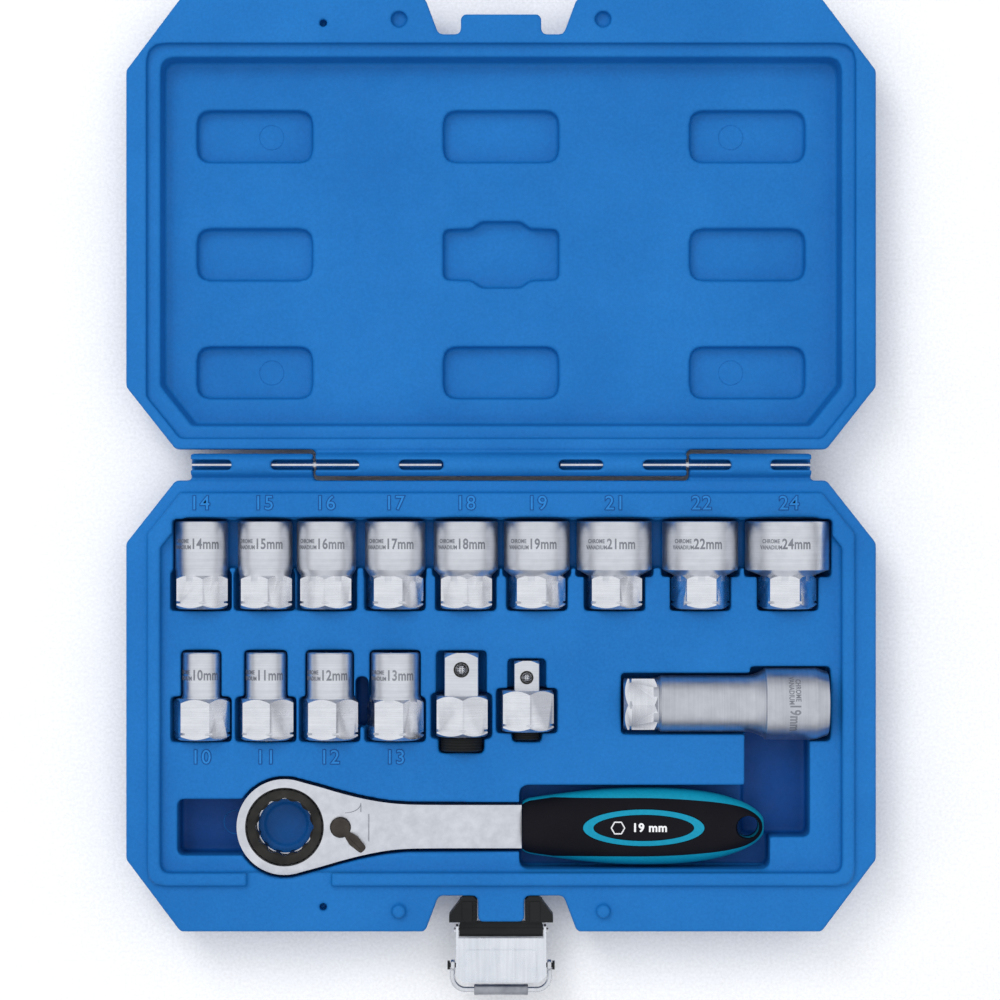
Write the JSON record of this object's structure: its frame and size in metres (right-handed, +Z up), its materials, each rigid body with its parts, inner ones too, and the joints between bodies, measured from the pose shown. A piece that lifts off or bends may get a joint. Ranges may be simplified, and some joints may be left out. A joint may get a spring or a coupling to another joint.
{
  "type": "socket wrench set in a case",
  "caption": "Open moulded plastic case with a recessed tray of pass-through sockets, square drive adapters, an extension and a ratchet ring wrench, shut by a wire bail latch.",
  "frame": {"origin": "centre of the tray half's underside", "axes": "+X to the right, +Y from the latch to the hinge and on over the open lid, +Z up out of the tray"},
  "size_m": [0.28, 0.3731, 0.0347],
  "materials": {
    "case_blue": "moulded satin",
    "satin_chrome": "satin",
    "bright_steel": "polished",
    "dark_steel": "black oxide",
    "black_plastic": "satin",
    "grip_black": "soft matt",
    "grip_teal": "satin"
  },
  "bodies": {
    "case_base": {"case_base": "case_blue", "hinge_pin_left": "bright_steel", "hinge_pin_right": "bright_steel", "latch_bracket": "black_plastic", "latch_pin": "bright_steel"},
    "case_lid": {"case_lid": "case_blue"},
    "latch_lever": {"latch_lever": "bright_steel", "latch_rivet_left": "black_plastic", "latch_rivet_right": "black_plastic"},
    "latch_bail": {"latch_bail": "bright_steel", "latch_sleeve": "bright_steel"},
    "socket_10mm": {"socket_10mm": "satin_chrome"},
    "socket_11mm": {"socket_11mm": "satin_chrome"},
    "socket_12mm": {"socket_12mm": "satin_chrome"},
    "socket_13mm": {"socket_13mm": "satin_chrome"},
    "socket_14mm": {"socket_14mm": "satin_chrome"},
    "socket_15mm": {"socket_15mm": "satin_chrome"},
    "socket_16mm": {"socket_16mm": "satin_chrome"},
    "socket_17mm": {"socket_17mm": "satin_chrome"},
    "socket_18mm": {"socket_18mm": "satin_chrome"},
    "socket_19mm": {"socket_19mm": "satin_chrome"},
    "socket_21mm": {"socket_21mm": "satin_chrome"},
    "socket_22mm": {"socket_22mm": "satin_chrome"},
    "socket_24mm": {"socket_24mm": "satin_chrome"},
    "half_inch_adapter": {"half_inch_adapter": "satin_chrome", "half_inch_spring": "bright_steel", "half_inch_retainer": "black_plastic"},
    "half_inch_ball": {"half_inch_ball": "bright_steel"},
    "three_eighths_adapter": {"three_eighths_adapter": "satin_chrome", "three_eighths_spring": "bright_steel", "three_eighths_retainer": "black_plastic"},
    "three_eighths_ball": {"three_eighths_ball": "bright_steel"},
    "extension_socket": {"extension_socket": "satin_chrome"},
    "wrench": {"wrench_body": "satin_chrome", "ring_circlip": "dark_steel", "pawl_plunger": "bright_steel", "pawl_spring": "bright_steel", "grip_core": "grip_teal", "grip_panel_top": "grip_black", "grip_panel_bottom": "grip_black", "grip_inlay": "grip_teal"},
    "ratchet_ring": {"ratchet_ring": "dark_steel", "ring_snap_wire": "bright_steel"},
    "reversing_lever": {"reversing_lever": "dark_steel"},
    "pawl": {"pawl": "dark_steel"}
  },
  "joints": [
    {"name": "lid_hinge", "type": "hinge", "parent": "case_base", "child": "case_lid", "pos_m": [0, 0.09, 0.0245], "axis": [-1, 0, 0], "range_deg": [-180, 0]},
    {"name": "latch_lever_swing", "type": "hinge", "parent": "case_base", "child": "latch_lever", "pos_m": [0, -0.0844, 0.0181], "axis": [1, 0, 0], "range_deg": [-100, 0]},
    {"name": "latch_bail_swing", "type": "hinge", "parent": "latch_lever", "child": "latch_bail", "pos_m": [0, -0.0976, 0.0173], "axis": [1, 0, 0], "range_deg": [-40, 0]},
    {"name": "socket_10mm_lift", "type": "slide", "parent": "case_base", "child": "socket_10mm", "axis": [0, 0, 1], "range_m": [0, 0.045]},
    {"name": "socket_11mm_lift", "type": "slide", "parent": "case_base", "child": "socket_11mm", "axis": [0, 0, 1], "range_m": [0, 0.045]},
    {"name": "socket_12mm_lift", "type": "slide", "parent": "case_base", "child": "socket_12mm", "axis": [0, 0, 1], "range_m": [0, 0.045]},
    {"name": "socket_13mm_lift", "type": "slide", "parent": "case_base", "child": "socket_13mm", "axis": [0, 0, 1], "range_m": [0, 0.045]},
    {"name": "socket_14mm_lift", "type": "slide", "parent": "case_base", "child": "socket_14mm", "axis": [0, 0, 1], "range_m": [0, 0.045]},
    {"name": "socket_15mm_lift", "type": "slide", "parent": "case_base", "child": "socket_15mm", "axis": [0, 0, 1], "range_m": [0, 0.045]},
    {"name": "socket_16mm_lift", "type": "slide", "parent": "case_base", "child": "socket_16mm", "axis": [0, 0, 1], "range_m": [0, 0.045]},
    {"name": "socket_17mm_lift", "type": "slide", "parent": "case_base", "child": "socket_17mm", "axis": [0, 0, 1], "range_m": [0, 0.045]},
    {"name": "socket_18mm_lift", "type": "slide", "parent": "case_base", "child": "socket_18mm", "axis": [0, 0, 1], "range_m": [0, 0.045]},
    {"name": "socket_19mm_lift", "type": "slide", "parent": "case_base", "child": "socket_19mm", "axis": [0, 0, 1], "range_m": [0, 0.045]},
    {"name": "socket_21mm_lift", "type": "slide", "parent": "case_base", "child": "socket_21mm", "axis": [0, 0, 1], "range_m": [0, 0.045]},
    {"name": "socket_22mm_lift", "type": "slide", "parent": "case_base", "child": "socket_22mm", "axis": [0, 0, 1], "range_m": [0, 0.045]},
    {"name": "socket_24mm_lift", "type": "slide", "parent": "case_base", "child": "socket_24mm", "axis": [0, 0, 1], "range_m": [0, 0.045]},
    {"name": "half_inch_adapter_lift", "type": "slide", "parent": "case_base", "child": "half_inch_adapter", "axis": [0, 0, 1], "range_m": [0, 0.045]},
    {"name": "three_eighths_adapter_lift", "type": "slide", "parent": "case_base", "child": "three_eighths_adapter", "axis": [0, 0, 1], "range_m": [0, 0.045]},
    {"name": "extension_lift", "type": "slide", "parent": "case_base", "child": "extension_socket", "axis": [0, 0, 1], "range_m": [0, 0.045]},
    {"name": "wrench_lift", "type": "slide", "parent": "case_base", "child": "wrench", "axis": [0, 0, 1], "range_m": [0, 0.045]},
    {"name": "half_inch_ball_press", "type": "slide", "parent": "half_inch_adapter", "child": "half_inch_ball", "axis": [0, 0, 1], "range_m": [-0.0009, 0], "stiffness_N_per_m": 600, "springref_m": 0.0002},
    {"name": "three_eighths_ball_press", "type": "slide", "parent": "three_eighths_adapter", "child": "three_eighths_ball", "axis": [0, 0, 1], "range_m": [-0.0007, 0], "stiffness_N_per_m": 500, "springref_m": 0.0002},
    {"name": "ring_spin", "type": "hinge", "parent": "wrench", "child": "ratchet_ring", "pos_m": [-0.081, -0.0454, 0.0165], "axis": [0, 0, 1], "continuous": true},
    {"name": "reversing_lever_turn", "type": "hinge", "parent": "wrench", "child": "reversing_lever", "pos_m": [-0.06, -0.0454, 0.0165], "axis": [0, 0, 1], "range_deg": [0, 90]},
    {"name": "pawl_rock", "type": "hinge", "parent": "wrench", "child": "pawl", "pos_m": [-0.06, -0.0454, 0.0165], "axis": [0, 0, 1], "range_deg": [0, 18]}
  ],
  "couplings": [
    {"joint": "pawl_rock", "follows": "reversing_lever_turn", "ratio": 0.2}
  ]
}
